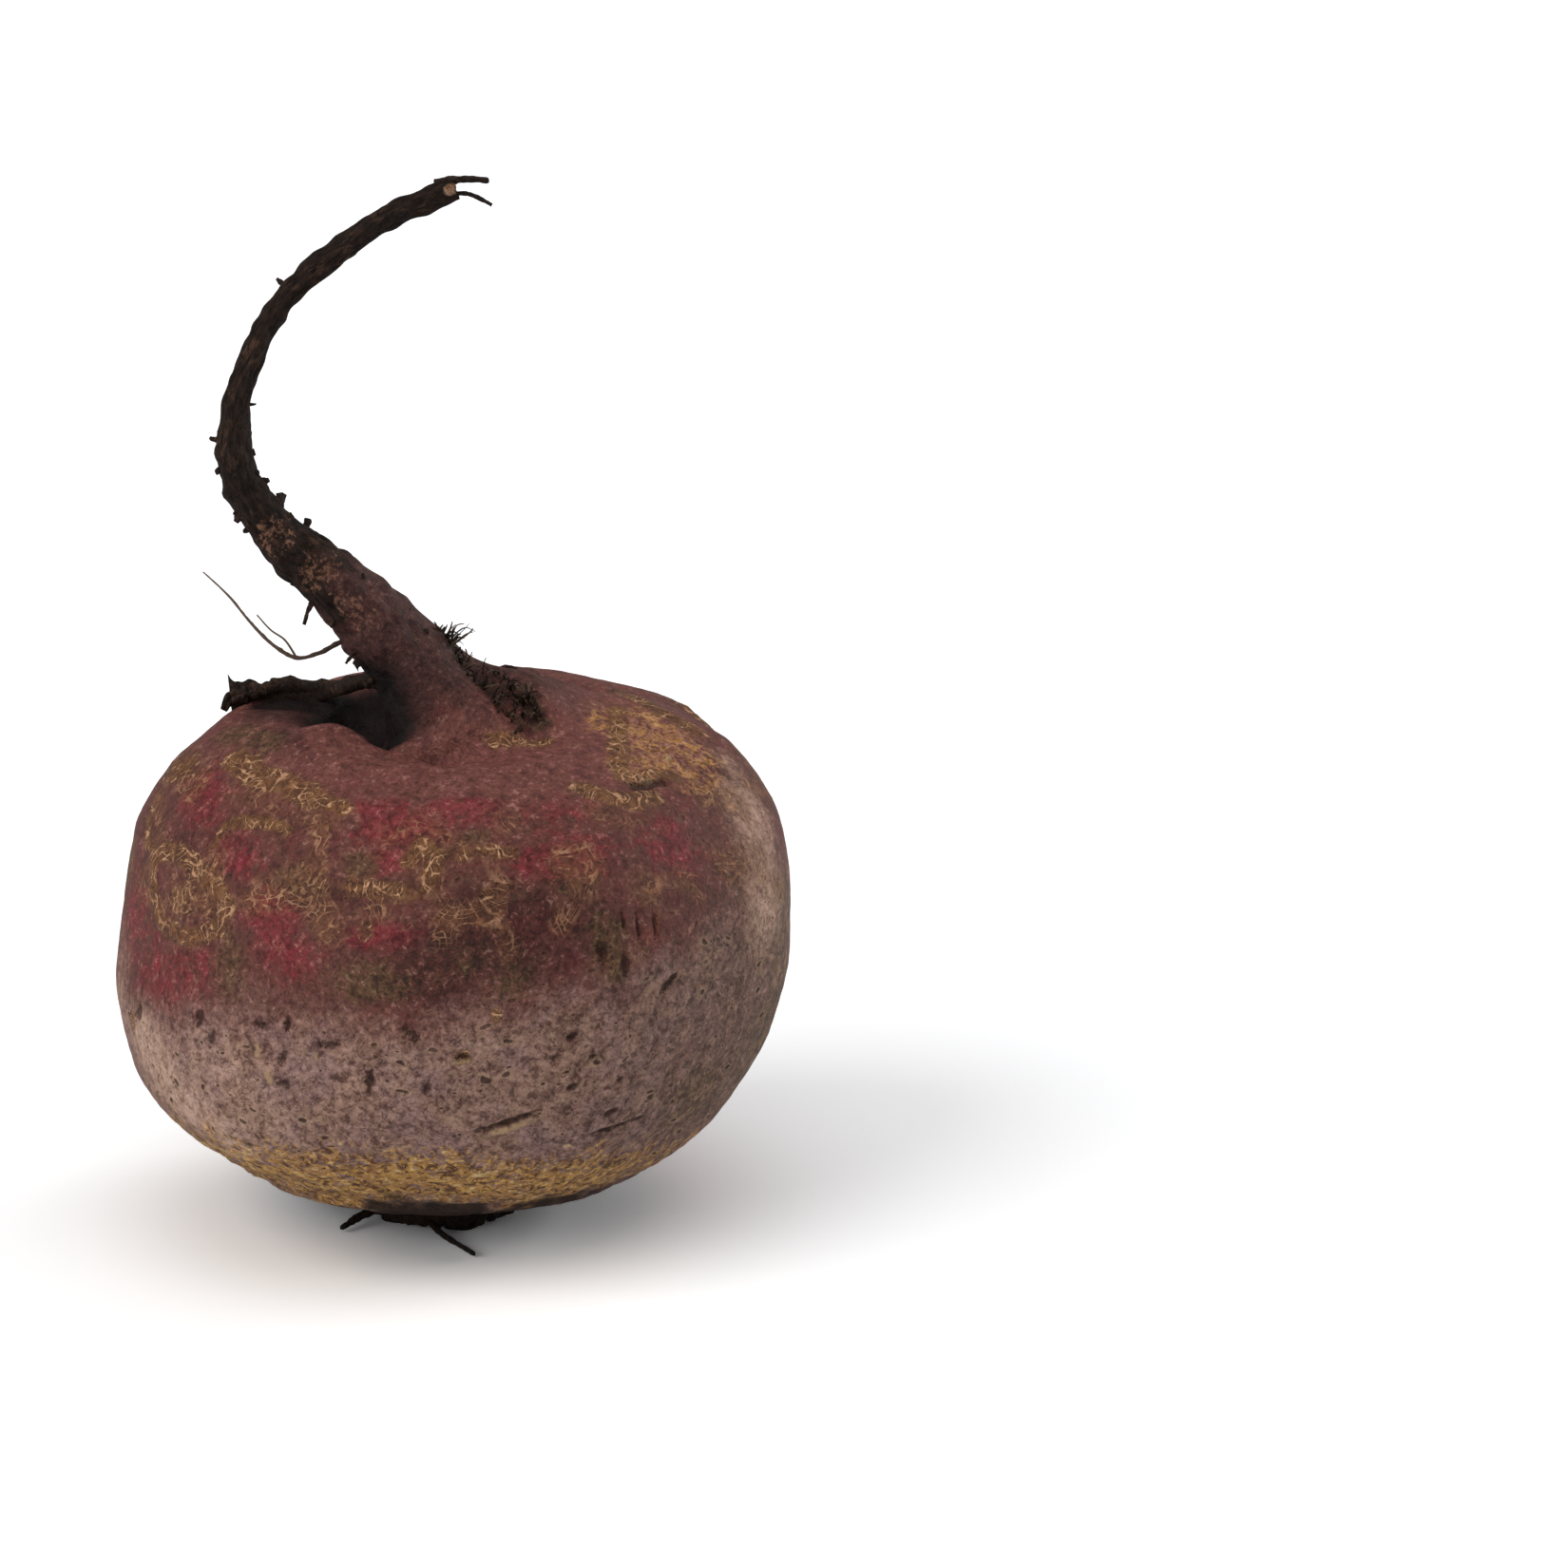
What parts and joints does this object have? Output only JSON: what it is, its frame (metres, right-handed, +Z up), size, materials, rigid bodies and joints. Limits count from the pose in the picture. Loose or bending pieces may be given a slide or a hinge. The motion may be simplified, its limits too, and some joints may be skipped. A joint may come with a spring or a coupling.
{
  "type": "beetroot",
  "caption": "Whole raw beetroot, a squat round bulb standing on its trimmed crown with the long, curved, torn tap root pointing up.",
  "frame": {"origin": "centre of the flat spot at the crown's growing point, which the beetroot rests on", "axes": "+Z up from the crown to the tip of the tap root, -Y towards the viewer of the picture, +X to the viewer's right"},
  "size_m": [0.0785, 0.0739, 0.1229],
  "materials": {
    "skin": "matt, dry, crimson to mauve-brown rind with golden corky scribbles, dark pits and a corky ring round the crown",
    "root_bark": "matt, rough, nearly black dried root bark",
    "crown": "matt, dark dried leaf-stalk stubs"
  },
  "bodies": {
    "root": {"beetroot": "skin"}
  },
  "joints": []
}
